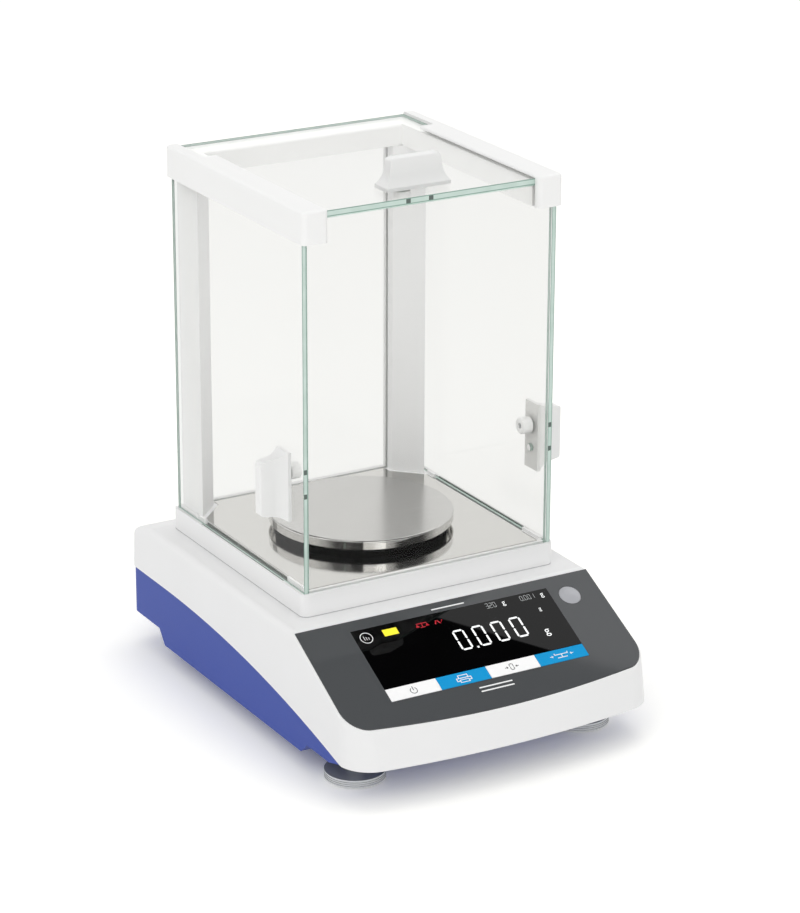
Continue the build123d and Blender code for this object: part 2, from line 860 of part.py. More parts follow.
def board_block(across, along, low, height):
    """Box on the main board between two shares of its width and two of its length."""
    x0, y0 = board_place(across[0], along[0])
    x1, y1 = board_place(across[1], along[1])
    return block(x0, x1, y0, y1, low, low + height)


def main_board_parts():
    """Converter can, processor, plug strip and two capacitors on the main board."""
    top = tray_floor_height + standoff_height + circuit_board_thickness
    parts = [
        board_block(converter_across, converter_along, top, converter_height),
        board_block(processor_across, processor_along, top, processor_height),
        board_block(plug_across, plug_along, top, plug_height),
    ]
    for along in capacitor_along:
        x, y = board_place(capacitor_across, along)
        parts.append(rod(x, y, top, top + capacitor_height, capacitor_radius))
    return Compound(parts)


def board_screws():
    """Pan-head screws of the main board and of the display board."""
    top = tray_floor_height + standoff_height + circuit_board_thickness
    sizes = (board_screw_radius, board_screw_head_radius, board_screw_head_height)
    main = [screw(x, y, top, -board_screw_length, *sizes) for x, y in main_board_holes()]
    back = screw(0, 0, board_top - circuit_board_thickness, board_screw_length, *sizes)
    return Compound(main + [on_panel(x, s) * back for x, s in display_boss_places()])


def load_cell():
    """Bending-beam load cell: aluminium bar with two joined cross holes that leave thin hinges."""
    half_width, half_length = cell_width / 2, cell_length / 2
    bar = block(-half_width, half_width, -half_length, half_length, cell_bottom, cell_top)
    middle = (cell_bottom + cell_top) / 2
    holes = [
        Pos(0, side * cell_hole_spacing / 2, middle) * Rot(0, 90, 0) * Cylinder(cell_hole_radius, 2 * cell_width)
        for side in (-1, 1)
    ]
    web = cell_hole_spacing / 2
    slot = block(-cell_width, cell_width, -web, web, middle - cell_hole_radius / 2, middle + cell_hole_radius / 2)
    rear = [rod(x, y, cell_bottom, cell_top, cell_screw_radius) for x, y in cell_screw_places(1)]
    front = [rod(x, y, cell_top - cell_screw_depth, cell_top, cell_screw_radius) for x, y in cell_screw_places(-1)]
    return bar - (holes + [slot] + rear + front)


def load_cell_block():
    """Spacer block that carries the fixed end of the load cell."""
    half = cell_width / 2
    solid = block(-half, half, cell_length / 2 - cell_end_length, cell_length / 2, tray_floor_height, cell_bottom)
    return solid - [rod(x, y, tray_floor_height, cell_bottom, cell_screw_radius) for x, y in cell_screw_places(1)]


def load_cell_screws():
    """Two long screws through the fixed end into the tray, two short ones through the receiver."""
    rear = cell_screw_end - cell_top
    front = cell_top - cell_screw_depth - receiver_arm_top
    sizes = (cell_screw_radius, cell_screw_head_radius, cell_screw_head_height)
    long_pair = [screw(x, y, cell_top, rear, *sizes) for x, y in cell_screw_places(1)]
    short_pair = [screw(x, y, receiver_arm_top, front, *sizes) for x, y in cell_screw_places(-1)]
    return Compound(long_pair + short_pair)


def load_receiver():
    """Arm from the free end of the load cell back to the pan axis, with the post that carries the pan."""
    half = cell_width / 2
    free_end = -cell_length / 2
    pad_top = cell_top + receiver_pad_height
    pad = block(-half, half, free_end, free_end + cell_end_length, cell_top, pad_top)
    arm_half = receiver_arm_width / 2
    waist = free_end + cell_end_length
    outline = Polyline(
        (-half, free_end), (half, free_end), (half, waist), (arm_half, receiver_arm_reach),
        (-arm_half, receiver_arm_reach), (-half, waist), close=True,
    )
    arm = Pos(0, 0, pad_top) * extrude(make_face(outline), amount=receiver_arm_height)
    arm = fillet(arm.edges().filter_by(Axis.Z), receiver_arm_height / 2)
    post = rod(0, 0, receiver_arm_top, socket_top - spigot_length, post_radius)
    spigot = rod(0, 0, socket_top - spigot_length, socket_top, spigot_radius)
    spigot = chamfer(spigot.edges().sort_by(Axis.Z)[-1], spigot_radius / 8)
    holes = [rod(x, y, cell_top, receiver_arm_top, cell_screw_radius) for x, y in cell_screw_places(-1)]
    return pad + arm + post + spigot - holes


def overload_stops():
    """Two set pins under the free end of the load cell."""
    return Compound([rod(x, y, cell_screw_end, cell_bottom - stop_gap, stop_radius) for x, y in stop_places()])


# Draft shield base

def shield_plan(inset):
    """Plan of the shield base with round corners."""
    width = 2 * (shield_half_width - inset)
    depth = shield_front + shield_rear - 2 * inset
    corner = shield_corner_radius - min(inset, shield_corner_radius / 2)
    return Pos(0, (shield_rear - shield_front) / 2, 0) * RectangleRounded(width, depth, corner)


def shield_base():
    """White frame on the housing: deck, skirt, grooves for glass and door tracks, guide ribs and bosses."""
    solid = extrude(Pos(0, 0, housing_top) * shield_plan(0), amount=shield_base_height)
    hollow = extrude(Pos(0, 0, housing_top) * shield_plan(shield_skirt), amount=shield_base_height - shield_deck)
    base = solid - hollow
    base += [rod(x, y, housing_top, deck, shield_boss_radius) for x, y in shield_screw_places()]
    rod_boss = tie_rod_head_radius + 2 * rod_boss_wall
    rod_well = tie_rod_head_radius + tie_rod_clearance
    rib_top = deck + guide_rib_height
    front = -door_half_length - glass_clearance
    front_half = door_inner - glass_clearance
    rear_half = rear_pane_half_width + glass_clearance
    groove = deck - pane_groove_depth
    cuts = [
        plate_outline(deck - plate_thickness + plate_proud, 2 * plate_thickness),
        rod(0, 0, housing_top, deck, post_hole_radius),
        block(-front_half, front_half, front, front + glass_thickness + 2 * glass_clearance, groove, deck),
        block(-rear_half, rear_half, pane_slot_front, pane_slot_rear, groove, deck),
    ]
    for side in (-1, 1):
        x = side * tie_rod_x
        inner, outer = side * door_groove_inner, side * door_groove_outer
        rib = side * (door_groove_inner - guide_rib_width)
        track_inner, track_outer = side * track_inner_edge, side * track_outer_edge
        base += rod(x, tie_rod_y, housing_top, deck, rod_boss)
        base += block(rib, inner, -track_front - front_rib_length, -track_front, deck, rib_top)
        base += block(rib, inner, track_rear, track_rear + rear_rib_length, deck, rib_top)
        cuts.append(block(inner, outer, front, 2 * shield_rear, deck - door_groove_depth, deck))
        cuts.append(block(track_inner, track_outer, -track_front, track_rear, deck - track_depth, deck))
        cuts.append(rod(x, tie_rod_y, housing_top, deck - shield_deck, rod_well))
        cuts.append(rod(x, tie_rod_y, housing_top, deck, tie_rod_radius))
    cuts += [rod(x, y, housing_top, shield_screw_end, shield_screw_radius) for x, y in shield_screw_places()]
    return base - cuts


def door_track(side):
    """Channel let into the shield base that a side door runs in."""
    low = deck - track_depth
    channel = block(side * track_inner_edge, side * track_outer_edge, -track_front, track_rear, low, deck)
    inner = side * (track_inner_edge + track_wall)
    outer = side * (track_outer_edge - track_wall)
    return channel - block(inner, outer, -2 * track_front, 2 * track_rear, deck - door_groove_depth, deck)


def plate_outline(low, thickness):
    """Outline of the steel plate with its rear corners cut off along the faces of the columns."""
    corner_x = column_inner - plate_column_gap
    diagonal = column_outer + column_front - plate_column_gap * math.sqrt(2)
    points = [
        (-plate_half_width, -plate_front), (plate_half_width, -plate_front),
        (plate_half_width, diagonal - plate_half_width), (corner_x, diagonal - corner_x),
        (corner_x, plate_rear), (-corner_x, plate_rear),
        (-corner_x, diagonal - corner_x), (-plate_half_width, diagonal - plate_half_width),
    ]
    return Pos(0, 0, low) * extrude(make_face(Polyline(*points, close=True)), amount=thickness)


def floor_plate():
    """Loose steel plate that lines the floor of the chamber."""
    low = deck - plate_thickness + plate_proud
    return plate_outline(low, plate_thickness) - rod(0, 0, housing_top, rail_bottom, plate_hole_radius)


def shield_base_screws():
    """Four screws from inside the housing up into the shield base."""
    seat = housing_top - housing_wall
    sizes = (shield_screw_radius, shield_screw_head_radius, shield_screw_head_height)
    return Compound([screw(x, y, seat, shield_screw_length, *sizes) for x, y in shield_screw_places()])


# Columns, rails and beam

def column():
    """Right-hand rear column: hollow section with a 45 degree inner face and a slot for the rear pane."""
    cut = column_outer - column_inner
    outline = make_face(Polyline(
        (column_outer, column_front), (column_outer, column_rear),
        (column_inner, column_rear), (column_inner, column_front + cut), close=True,
    ))
    slot_end = rear_pane_half_width + glass_clearance
    slot = plan_rectangle(column_inner - column_wall, slot_end, pane_slot_front, pane_slot_rear)
    slot_wall = plan_rectangle(
        column_inner - column_wall, slot_end + column_wall, pane_slot_front - column_wall, column_rear + column_wall
    )
    boss = Pos(tie_rod_x, tie_rod_y) * Circle(tie_rod_radius + rod_boss_wall)
    hollow = offset(outline, -column_wall, kind=Kind.INTERSECTION)
    section = (outline - hollow) + (slot_wall & outline) + (boss & outline)
    section = section - slot - Pos(tie_rod_x, tie_rod_y) * Circle(tie_rod_radius + tie_rod_clearance)
    return Pos(0, 0, deck) * extrude(section, amount=chamber_height)


def rail():
    """Right-hand top rail: guides the side door below and the top door at its inner side."""
    plan = RectangleRounded(rail_width, rail_front + rail_rear, rail_corner_radius)
    middle = Pos((rail_inner + rail_outer) / 2, (rail_rear - rail_front) / 2, rail_bottom)
    body = middle * extrude(plan, amount=rail_height)
    body = fillet(body.edges().group_by(Axis.Z)[-1], rail_top_radius)
    glass_edge = top_glass_half_width + glass_clearance
    cap = -door_half_length - glass_clearance
    ledge = top_glass_bottom - glass_clearance
    cuts = [
        block(door_groove_inner, door_groove_outer, cap, 2 * rail_rear, rail_bottom, door_top + door_head_room),
        block(0, glass_edge, cap, 2 * rail_rear, ledge, top_glass_top + top_glass_play),
        block(0, glass_edge, rail_lip_end, 2 * rail_rear, ledge, 2 * rail_top),
        block(0, door_inner, cap, cap + glass_thickness + 2 * glass_clearance, rail_bottom, ledge),
        block(rail_inner, rail_inner + beam_tenon_length, tenon_front, tenon_rear, tenon_low, tenon_high),
        rod(tie_rod_x, tie_rod_y, rail_bottom, rail_bottom + tie_rod_grip, tie_rod_radius),
    ]
    return body - cuts


def rear_beam():
    """Beam across the rear that joins the rails and holds the top edge of the rear pane."""
    beam = block(-rail_inner, rail_inner, beam_front, beam_rear, rail_bottom, beam_top)
    beam = fillet(beam.edges().filter_by(Axis.X).group_by(Axis.Z)[-1], rail_top_radius)
    length = rail_inner + beam_tenon_length
    beam += block(-length, length, tenon_front, tenon_rear, tenon_low, tenon_high)
    half = rear_pane_half_width + glass_clearance
    return beam - block(-half, half, pane_slot_front, pane_slot_rear, rail_bottom, rail_bottom + pane_groove_depth)


def tie_rods():
    """Long screws inside the columns that clamp the rails to the shield base."""
    length = chamber_height + shield_deck + tie_rod_grip
    sizes = (tie_rod_radius, tie_rod_head_radius, tie_rod_head_height)
    return Compound([screw(x, tie_rod_y, deck - shield_deck, length, *sizes) for x in (-tie_rod_x, tie_rod_x)])


# Glass, handles and nuts

def side_door():
    """Right-hand sliding pane with the two holes of its handle."""
    low = deck - door_groove_depth + door_lift_gap
    pane = block(door_inner, door_outer_half_width, -door_half_length, door_half_length, low, door_top)
    return pane - handle_holes(side_handle_place())


def top_door():
    """Sliding pane that closes the top of the chamber."""
    half = top_glass_half_width
    rear = rail_rear - glass_clearance
    pane = block(-half, half, -door_half_length, rear, top_glass_bottom, top_glass_top)
    return pane - handle_holes(top_handle_place())


def handle_hole_places():
    """Nut and pin of a handle, along its length from the middle."""
    return [-handle_hole_spacing / 2, handle_hole_spacing / 2]


def handle_holes(place):
    """Holes through a pane for the stud and the pin of its handle."""
    depth = 2 * top_glass_thickness
    return [place * rod(x, 0, -depth, depth, handle_pin_radius + handle_hole_clearance) for x in handle_hole_places()]


def side_handle_place():
    """Frame on the outer face of the right-hand door: handle length upside down along Z, reach along +X."""
    y = handle_from_door_front - door_half_length
    return Location((door_outer_half_width, y, deck + side_handle_height)) * Rot(0, 90, 0)


def top_handle_place():
    """Frame on the upper face of the top door: handle length along X, reach along +Z."""
    return Location((0, handle_from_door_front - door_half_length, top_glass_top))


def flare(base, neck, tip, tip_radius):
    """Half section of a handle across one direction: tapered grip, hollow flare and a soft-edged foot."""
    grip_height = handle_reach - handle_flare_height
    face = make_face([
        Polyline((0, handle_seat_gap), (base, handle_seat_gap), (base, handle_foot_height)),
        TangentArc(
            (neck, handle_flare_height), (base, handle_foot_height), tangent=(neck - tip, -grip_height)
        ),
        Polyline((neck, handle_flare_height), (tip, handle_reach), (0, handle_reach), (0, handle_seat_gap)),
    ])
    corners = face.vertices().sort_by(Axis.Y)
    tip_corner = corners[-2:].sort_by(Axis.X)[-1]
    face = fillet(tip_corner, tip_radius)
    foot_corner = face.vertices().filter_by(lambda v: abs(v.Y - handle_foot_height) < handle_foot_radius / 4)
    return fillet(foot_corner, handle_foot_radius)


def handle(pane_thickness):
    """Finger grip with its base at the origin: flares out to the glass, with a pin beside the stud hole."""
    long_half = flare(handle_base_length / 2, handle_neck_length / 2, handle_tip_length / 2, handle_tip_length_radius)
    wide_half = flare(handle_base_width / 2, handle_neck_width / 2, handle_tip_width / 2, handle_tip_width_radius)
    long_way = extrude(Plane.XZ * long_half, amount=handle_base_width, both=True)
    wide_way = extrude(Plane.YZ * wide_half, amount=handle_base_length, both=True)
    grip = (long_way + mirror(long_way, Plane.YZ)) & (wide_way + mirror(wide_way, Plane.XZ))
    stud_x, pin_x = handle_hole_places()
    pin = rod(pin_x, 0, -pane_thickness, handle_foot_height, handle_pin_radius)
    return grip + pin - rod(stud_x, 0, 0, handle_reach / 2, handle_stud_radius)


def handle_stud(pane_thickness):
    """Threaded stud from inside the handle through the glass into the nut."""
    x = handle_hole_places()[0]
    end = thumb_nut_recess - handle_seat_gap - pane_thickness - thumb_nut_height
    return rod(x, 0, end, handle_reach / 2, handle_stud_radius)


def thumb_nut(pane_thickness):
    """Round nut on the inner face of the glass that clamps the handle."""
    x = handle_hole_places()[0]
    seat = -pane_thickness - handle_seat_gap
    nut = rod(x, 0, seat - thumb_nut_height, seat, thumb_nut_radius)
    nut = chamfer(nut.edges().group_by(Axis.Z)[0], thumb_nut_edge)
    return nut - rod(x, 0, seat - thumb_nut_height, seat, handle_stud_radius)


def front_pane():
    """Fixed front pane between the two side doors."""
    half = door_inner - 2 * glass_clearance + door_lift_gap / 2
    low = deck - pane_groove_depth + recess_clearance
    top = top_glass_bottom - 2 * glass_clearance
    return block(-half, half, -door_half_length, -door_half_length + glass_thickness, low, top)


def rear_pane():
    """Fixed rear pane between the columns."""
    half = rear_pane_half_width
    low = deck - pane_groove_depth + recess_clearance
    top = rail_bottom + pane_groove_depth - recess_clearance
    return block(-half, half, rear_pane_face, rear_pane_face + glass_thickness, low, top)


# Pan and its support

def weighing_pan():
    """Turned-down steel pan with a soft edge."""
    top = deck + pan_height
    low = top - pan_rim
    soft = pan_edge_radius
    inside = pan_radius - pan_rim_wall
    under = top - pan_sheet
    section = Plane.XZ * make_face([
        Polyline((0, under), (inside, under), (inside, low), (pan_radius, low), (pan_radius, top - soft)),
        TangentArc((pan_radius, top - soft), (pan_radius - soft, top), tangent=(0, 1)),
        Polyline((pan_radius - soft, top), (0, top), (0, under)),
    ])
    return revolve(section, Axis.Z)


def pan_support():
    """Dished black disc under the pan, with a hub that sits on the spigot of the load receiver."""
    top = deck + pan_height - pan_sheet
    plate_low = top - support_wall
    rim_low = deck + support_clearance
    hub_low = deck + hub_clearance
    socket = spigot_radius + spigot_clearance
    return turned([
        (socket, hub_low), (hub_radius, hub_low), (hub_radius, plate_low),
        (support_radius - support_wall, plate_low), (support_radius - support_wall, rim_low),
        (support_radius, rim_low), (support_radius, top), (0, top),
        (0, socket_top), (socket, socket_top),
    ])


# Levelling feet

def foot_screw(x, y, underside):
    """Levelling foot: grooved hand wheel with a neck up to its bush and a threaded stud."""
    low, top = foot_disc_bottom, foot_disc_top
    recess = foot_pad_radius + foot_pad_clearance
    neck_top = underside - foot_neck_gap
    groove = foot_radius - foot_groove_depth
    points = [(0, foot_pad_thickness), (recess, foot_pad_thickness), (recess, low), (foot_radius, low)]
    for i in range(1, foot_groove_count + 1):
        level = low + i * (top - low) / (foot_groove_count + 1)
        start = level - foot_groove_height / 2
        end = level + foot_groove_height / 2
        points += [(foot_radius, start), (groove, start), (groove, end), (foot_radius, end)]
    points += [
        (foot_radius, top), (foot_neck_radius, top), (foot_neck_radius, neck_top),
        (foot_stud_radius, neck_top), (foot_stud_radius, foot_stud_top), (0, foot_stud_top),
    ]
    return Pos(x, y, 0) * turned(points)


def foot_pad(x, y):
    """Rubber pad that turns freely in the underside of the foot."""
    return rod(x, y, 0, foot_pad_thickness, foot_pad_radius)


def foot_inserts():
    """Threaded bushes pressed into the housing, one over each foot."""
    inserts = []
    for x, y, z in foot_places():
        bush = rod(x, y, z, z + insert_length, insert_radius)
        inserts.append(bush - rod(x, y, z, z + insert_length, foot_stud_radius + foot_stud_clearance))
    return Compound(inserts)


def housing_screws():
    """Four screws from below that join the two mouldings."""
    sizes = (housing_screw_radius, housing_screw_head_radius, housing_screw_head_height)
    places = [(x, y, joint - housing_screw_grip) for x, y, joint in housing_screw_places()]
    return Compound([screw(x, y, seat, housing_screw_length, *sizes) for x, y, seat in places])


column_right = column()
rail_right = rail()
door_right = side_door()
side = side_handle_place()
above = top_handle_place()
side_handle = side * handle(glass_thickness)
side_stud = side * handle_stud(glass_thickness)
side_nut = side * thumb_nut(glass_thickness)

pieces = {
    "upper_housing": upper_housing(),
    "lower_housing": lower_housing(),
    "housing_screws": housing_screws(),
    "foot_inserts": foot_inserts(),
    "power_inlet": power_inlet(),
    "serial_port": serial_port(),
    "panel_film": panel_film(),
    "display_window": display_window(),
    "display_module": display_module(),
    "display_board": display_board(),
    "key_switches": key_switches(),
    "level_cup": level_cup(),
    "level_dome": level_dome(),
    "power_key": key(0),
    "print_key": key(1),
    "zero_key": key(2),
    "tare_key": key(3),
    "main_board": main_board(),
    "main_board_parts": main_board_parts(),
    "board_screws": board_screws(),
    "load_cell": load_cell(),
    "load_cell_block": load_cell_block(),
    "load_cell_screws": load_cell_screws(),
    "load_receiver": load_receiver(),
    "overload_stops": overload_stops(),
    "shield_base": shield_base(),
    "shield_base_screws": shield_base_screws(),
    "floor_plate": floor_plate(),
    "right_door_track": door_track(1),
    "left_door_track": door_track(-1),
    "right_column": column_right,
    "left_column": mirrored(column_right),
    "right_rail": rail_right,
    "left_rail": mirrored(rail_right),
    "rear_beam": rear_beam(),
    "tie_rods": tie_rods(),
    "front_pane": front_pane(),
    "rear_pane": rear_pane(),
    "right_door": door_right,
    "right_handle": side_handle,
    "right_handle_stud": side_stud,
    "right_thumb_nut": side_nut,
    "left_door": mirrored(door_right),
    "left_handle": mirrored(side_handle),
    "left_handle_stud": mirrored(side_stud),
    "left_thumb_nut": mirrored(side_nut),
    "top_door": top_door(),
    "top_handle": above * handle(top_glass_thickness),
    "top_handle_stud": above * handle_stud(top_glass_thickness),
    "top_thumb_nut": above * thumb_nut(top_glass_thickness),
    "pan_support": pan_support(),
    "weighing_pan": weighing_pan(),
}
foot_names = ("front_left", "front_right", "rear_left", "rear_right")
for name, (x, y, underside) in zip(foot_names, foot_places()):
    pieces[name + "_foot_screw"] = foot_screw(x, y, underside)
    pieces[name + "_foot_pad"] = foot_pad(x, y)

os.makedirs("parts", exist_ok=True)
for name, piece in pieces.items():
    export_step(Pos(0, pan_axis_y, 0) * piece, "parts/" + name + ".step")
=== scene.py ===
import bmesh
import bpy
import math
from mathutils import Matrix, Vector


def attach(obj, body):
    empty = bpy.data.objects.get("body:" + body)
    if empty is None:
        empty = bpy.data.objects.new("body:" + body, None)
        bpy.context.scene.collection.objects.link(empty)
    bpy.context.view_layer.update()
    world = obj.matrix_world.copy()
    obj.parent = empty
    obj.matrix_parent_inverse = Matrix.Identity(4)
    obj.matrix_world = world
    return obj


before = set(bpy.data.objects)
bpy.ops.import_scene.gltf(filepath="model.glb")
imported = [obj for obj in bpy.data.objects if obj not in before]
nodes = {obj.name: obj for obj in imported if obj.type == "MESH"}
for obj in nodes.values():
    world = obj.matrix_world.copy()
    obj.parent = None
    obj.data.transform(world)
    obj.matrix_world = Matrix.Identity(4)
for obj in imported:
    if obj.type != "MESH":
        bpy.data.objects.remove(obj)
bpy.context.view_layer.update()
stage = bpy.context.scene


# Camera
# A long lens from the front left, a little above the draft shield, level but for a fifth of a degree.
# Its distance makes the shield's upright edges nearly parallel.

camera_turn = math.radians(-30.239)
camera_rise = math.radians(20.186)
camera_roll = math.radians(0.209)
camera_distance = 2.1255
camera_target = Vector((0.01134, 0.00142, 0.15980))
back = Vector((
    math.sin(camera_turn) * math.cos(camera_rise),
    -math.cos(camera_turn) * math.cos(camera_rise),
    math.sin(camera_rise),
))
right = Vector((math.cos(camera_turn), math.sin(camera_turn), 0.0))
up = back.cross(right)
rolled_right = math.cos(camera_roll) * right + math.sin(camera_roll) * up
rolled_up = -math.sin(camera_roll) * right + math.cos(camera_roll) * up
lens = bpy.data.cameras.new("long_lens")
lens.lens = 130.04
lens.sensor_width = 36.0
lens.clip_start = 0.05
lens.clip_end = 60.0
camera = bpy.data.objects.new("camera", lens)
place = Matrix((rolled_right, rolled_up, back)).transposed().to_4x4()
place.translation = camera_target + back * camera_distance
camera.matrix_world = place
stage.collection.objects.link(camera)
stage.camera = camera
stage.view_settings.view_transform = "Standard"


# Studio
# A seamless white floor under a large even tent of light, with one softbox high on the left, one low in
# front and one overhead. Reflections see a dark room behind the camera, with one bright strip straight
# ahead of the balance, and a card up on the right shows as a gloss patch on the panel.

def linear(hexa):
    """Linear colour of an sRGB hex value."""
    channels = [int(hexa[i:i + 2], 16) / 255 for i in (1, 3, 5)]
    return tuple(c / 12.92 if c <= 0.04045 else ((c + 0.055) / 1.055) ** 2.4 for c in channels) + (1.0,)


def faded(hexa, share):
    """Linear colour of an sRGB hex value, with a share of its light."""
    return tuple(c * share for c in linear(hexa)[:3]) + (1.0,)


def add(tree, kind, settings=None, **inputs):
    """Adds a node to a tree with its settings, and sets or links its inputs by name, or by number as _0."""
    made = tree.nodes.new(kind)
    for key, value in (settings or {}).items():
        setattr(made, key, value)
    for key, value in inputs.items():
        socket = made.inputs[int(key[1:])] if key[0] == "_" else made.inputs[key.replace("_", " ")]
        if isinstance(value, bpy.types.NodeSocket):
            tree.links.new(value, socket)
        else:
            socket.default_value = value
    return made


def maths(tree, operation, *values, clamp=False):
    """Result of one calculation with the values."""
    numbered = {f"_{number}": value for number, value in enumerate(values)}
    return add(tree, "ShaderNodeMath", {"operation": operation, "use_clamp": clamp}, **numbered).outputs[0]


def blend(tree, share, first, second):
    """Mix of two colours, all second where the share is one."""
    return add(tree, "ShaderNodeMix", {"data_type": "RGBA"}, _0=share, _6=first, _7=second).outputs[2]


def ramp(tree, value, start, end, low, high, kind="LINEAR"):
    """Runs from low to high while the value runs from start to end, and stays level beyond both."""
    limits = {"From_Min": start, "From_Max": end, "To_Min": low, "To_Max": high}
    return add(tree, "ShaderNodeMapRange", {"interpolation_type": kind}, Value=value, **limits).outputs[0]


def noise(tree, at, per_metre, detail):
    """Soft random pattern between 0 and 1, with so many patches to the metre."""
    return add(tree, "ShaderNodeTexNoise", Vector=at, Scale=per_metre, Detail=detail).outputs["Fac"]


def located(tree, kind="Object"):
    """Place in metres of the frame, or with Generated a share of the piece's box or the way of a ray."""
    return add(tree, "ShaderNodeTexCoord").outputs[kind]


def parts_of(tree, vector):
    """The X, Y and Z of a vector."""
    return add(tree, "ShaderNodeSeparateXYZ", Vector=vector).outputs


def new_material(name):
    """Empty node material, and its node tree."""
    made = bpy.data.materials.new(name)
    made.use_nodes = True
    made.node_tree.nodes.clear()
    return made, made.node_tree


def stage_mesh(name, corners, material):
    """Flat sheet from its corners, for the studio only."""
    mesh = bpy.data.meshes.new(name)
    mesh.from_pydata(corners, [], [tuple(range(len(corners)))])
    mesh.materials.append(material)
    made = bpy.data.objects.new(name, mesh)
    stage.collection.objects.link(made)
    return made


# The paper burns out where the lens sees it bare, stays just short of white behind panes, throws plain
# white light on the balance, and glows a little in mirrors.
bare_paper = (1.14, 1.135, 1.1, 1)
paper_behind_panes = (0.95, 0.95, 0.942, 1)
seen_glow = 0.05
mirrored_glow = 0.3
floor_material, tree = new_material("white_paper_sweep")
path = add(tree, "ShaderNodeLightPath").outputs
seen = maths(tree, "MAXIMUM", path["Is Camera Ray"], path["Is Transmission Ray"])
behind_panes = maths(tree, "GREATER_THAN", path["Transmission Depth"], 0.5)
seen_sheet = blend(tree, behind_panes, bare_paper, paper_behind_panes)
paper = add(tree, "ShaderNodeBsdfDiffuse", Color=blend(tree, seen, linear("#F4F4F3"), seen_sheet))
mirrored = maths(tree, "SUBTRACT", path["Is Glossy Ray"], path["Is Transmission Ray"], clamp=True)
lift = maths(tree, "MULTIPLY_ADD", mirrored, mirrored_glow, maths(tree, "MULTIPLY", seen, seen_glow))
glow = add(tree, "ShaderNodeEmission", Color=(1, 1, 1, 1), Strength=lift)
both = add(tree, "ShaderNodeAddShader", _0=paper.outputs[0], _1=glow.outputs[0])
add(tree, "ShaderNodeOutputMaterial", Surface=both.outputs[0])
half = 12.0
stage_mesh("floor", [(-half, -half, 0), (half, -half, 0), (half, half, 0), (-half, half, 0)], floor_material)

# The tent is white to the lens and an even light on the balance. Reflections see it dark overhead and
# towards the lens, apart from the strip, also where they pass a pane on their way.
tent_strength = 0.78
lens_side = (-0.09, -0.996, 0.0)
tent = bpy.data.worlds.new("light_tent")
tent.use_nodes = True
stage.world = tent
tree = tent.node_tree
tree.nodes.clear()
way = located(tree, "Generated")
heading = parts_of(tree, way)
overhead = ramp(tree, heading["Z"], 0.55, 0.8, 0.95, 0.03, "SMOOTHSTEP")
towards = add(tree, "ShaderNodeVectorMath", {"operation": "DOT_PRODUCT"}, _0=way, _1=lens_side)
room = ramp(tree, towards.outputs["Value"], 0.1, 0.5, 1.0, 0.04)
strip = ramp(tree, heading["Y"], -0.89, -0.93, 0.0, 0.9)
mirrored_light = maths(tree, "MULTIPLY", overhead, maths(tree, "MAXIMUM", room, strip))
path = add(tree, "ShaderNodeLightPath").outputs
bounced = maths(tree, "GREATER_THAN", path["Glossy Depth"], 0.5)
bounced_through_pane = maths(tree, "MULTIPLY", bounced, path["Is Transmission Ray"])
reflected = maths(tree, "MAXIMUM", path["Is Glossy Ray"], bounced_through_pane)
looking = maths(tree, "MAXIMUM", path["Is Camera Ray"], path["Is Transmission Ray"])
looking = maths(tree, "SUBTRACT", looking, bounced_through_pane, clamp=True)
even = add(tree, "ShaderNodeBackground", Color=(1, 1, 1, 1), Strength=tent_strength)
gloss = add(tree, "ShaderNodeBackground", Color=(1, 1, 1, 1), Strength=mirrored_light)
white = add(tree, "ShaderNodeBackground", Color=(1, 1, 1, 1), Strength=1.0)
lighting = add(tree, "ShaderNodeMixShader", _0=reflected, _1=even.outputs[0], _2=gloss.outputs[0])
mixed = add(tree, "ShaderNodeMixShader", _0=looking, _1=lighting.outputs[0], _2=white.outputs[0])
add(tree, "ShaderNodeOutputWorld", Surface=mixed.outputs[0])


def softbox(name, position, target, side, watts):
    """Large soft square lamp that faces a point of the object."""
    lamp = bpy.data.lights.new(name, "AREA")
    lamp.shape = "RECTANGLE"
    lamp.size = lamp.size_y = side
    lamp.energy = watts
    made = bpy.data.objects.new(name, lamp)
    made.location = position
    made.rotation_mode = "QUATERNION"
    made.rotation_quaternion = (Vector(target) - Vector(position)).to_track_quat("-Z", "Y")
    stage.collection.objects.link(made)
    made.visible_glossy = False


softbox("left_softbox", (-2.0, -1.1, 2.1), (0, 0, 0.2), 1.8, 12)
softbox("front_softbox", (-0.7, -2.8, 0.9), (0, 0, 0.2), 1.4, 7)
softbox("top_softbox", (0.5, 0.4, 3.0), (0, 0, 0.1), 2.0, 13)

# The card hangs where the panel and the display mirror it to the lens, and only reflections see it.
card_corners = [(0.495, 0.310, 1.597), (1.140, -0.149, 1.299), (1.395, 0.349, 1.084), (0.750, 0.809, 1.382)]
card_light, tree = new_material("gloss_card")
glow = add(tree, "ShaderNodeEmission", Color=(1, 1, 1, 1), Strength=1.8)
add(tree, "ShaderNodeOutputMaterial", Surface=glow.outputs[0])
card = stage_mesh("gloss_card", card_corners, card_light)
card.visible_camera = card.visible_diffuse = card.visible_shadow = False


# White mouldings
# Injection-moulded ABS with a fine spark-eroded texture: upper housing, base of the shield, columns,
# rails, beam, handles and nuts. Screwed and clamped together from inside, so no screw shows.

def dress(material, *names):
    """Gives CAD nodes their finish."""
    for name in names:
        for slot in nodes[name].material_slots:
            slot.material = material


